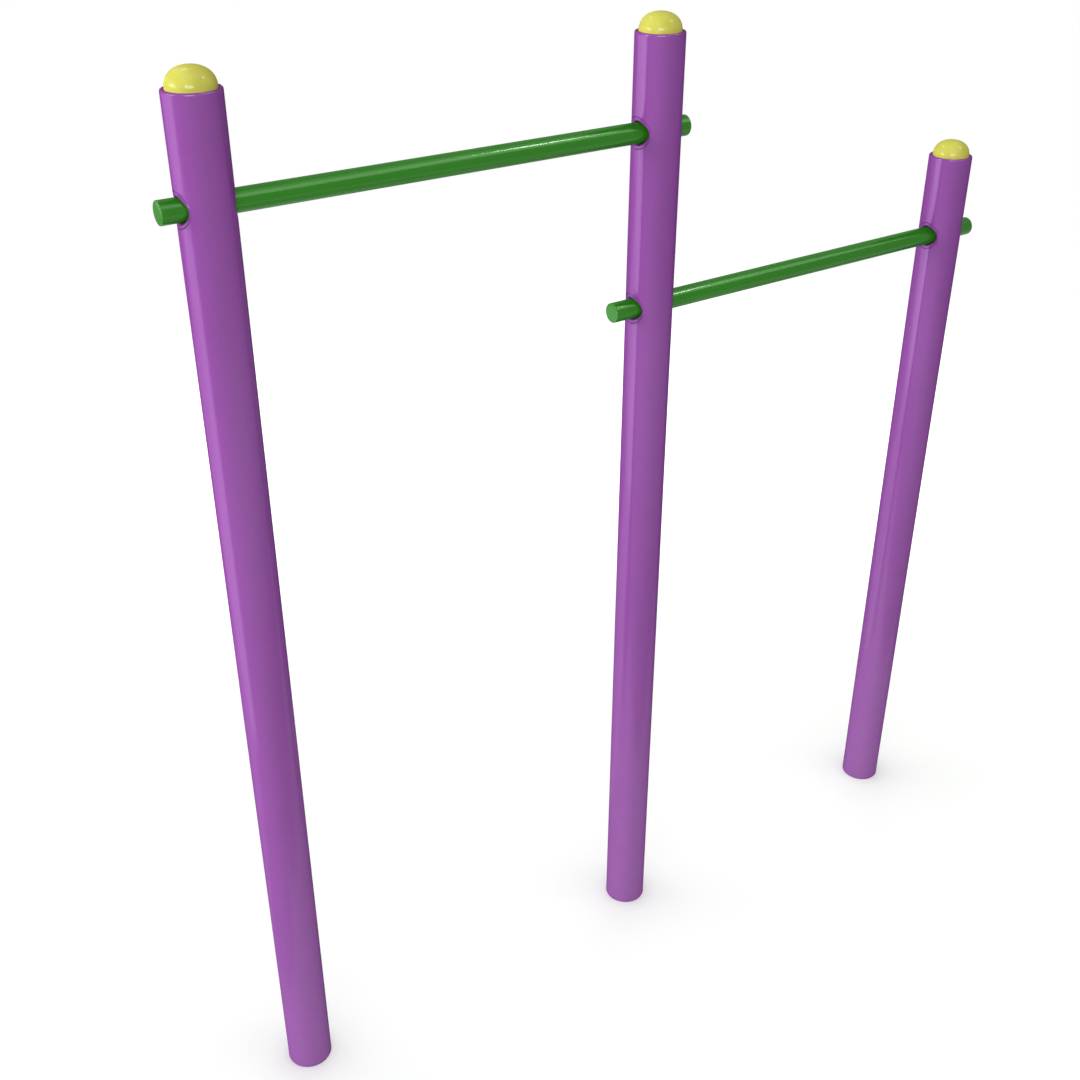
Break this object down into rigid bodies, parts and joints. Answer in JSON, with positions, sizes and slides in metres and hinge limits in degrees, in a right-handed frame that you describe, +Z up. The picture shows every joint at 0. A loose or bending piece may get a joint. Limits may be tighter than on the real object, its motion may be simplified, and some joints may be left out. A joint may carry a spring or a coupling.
{
  "type": "outdoor pull-up bar",
  "caption": "Free-standing outdoor pull-up frame: round steel posts in a line with domed caps carry horizontal grip bars at stepped heights, held in sleeves with locking screws.",
  "frame": {"origin": "middle of the footprint on the ground: z = 0 is the ground under the posts, x = 0 is halfway between the two outermost bar ends, y = 0 is the plane through the post axes", "axes": "+Z up along the posts, +X along the grip bars from the high bar to the low bar, +Y towards the back, away from the side that the picture shows"},
  "size_m": [2.1885, 0.108, 2.438],
  "materials": {
    "purple_powder_coat": "gloss powder coat, purple",
    "green_powder_coat": "gloss powder coat, green",
    "yellow_plastic": "glossy moulded plastic, yellow-green",
    "zinc_plated_steel": "bright zinc plating",
    "raw_steel": "mill finish"
  },
  "bodies": {
    "root": {"post_left": "purple_powder_coat", "cap_left": "yellow_plastic", "cap_seat_left": "raw_steel", "foot_disc_left": "purple_powder_coat", "post_middle": "purple_powder_coat", "cap_middle": "yellow_plastic", "cap_seat_middle": "raw_steel", "foot_disc_middle": "purple_powder_coat", "post_right": "purple_powder_coat", "cap_right": "yellow_plastic", "cap_seat_right": "raw_steel", "foot_disc_right": "purple_powder_coat", "high_bar": "green_powder_coat", "high_bar_end_left": "green_powder_coat", "high_bar_end_right": "green_powder_coat", "low_bar": "green_powder_coat", "low_bar_end_left": "green_powder_coat", "low_bar_end_right": "green_powder_coat", "sleeve_left_high": "purple_powder_coat", "lock_screw_left_high": "zinc_plated_steel", "sleeve_middle_high": "purple_powder_coat", "lock_screw_middle_high": "zinc_plated_steel", "sleeve_middle_low": "purple_powder_coat", "lock_screw_middle_low": "zinc_plated_steel", "sleeve_right_low": "purple_powder_coat", "lock_screw_right_low": "zinc_plated_steel"}
  },
  "joints": []
}
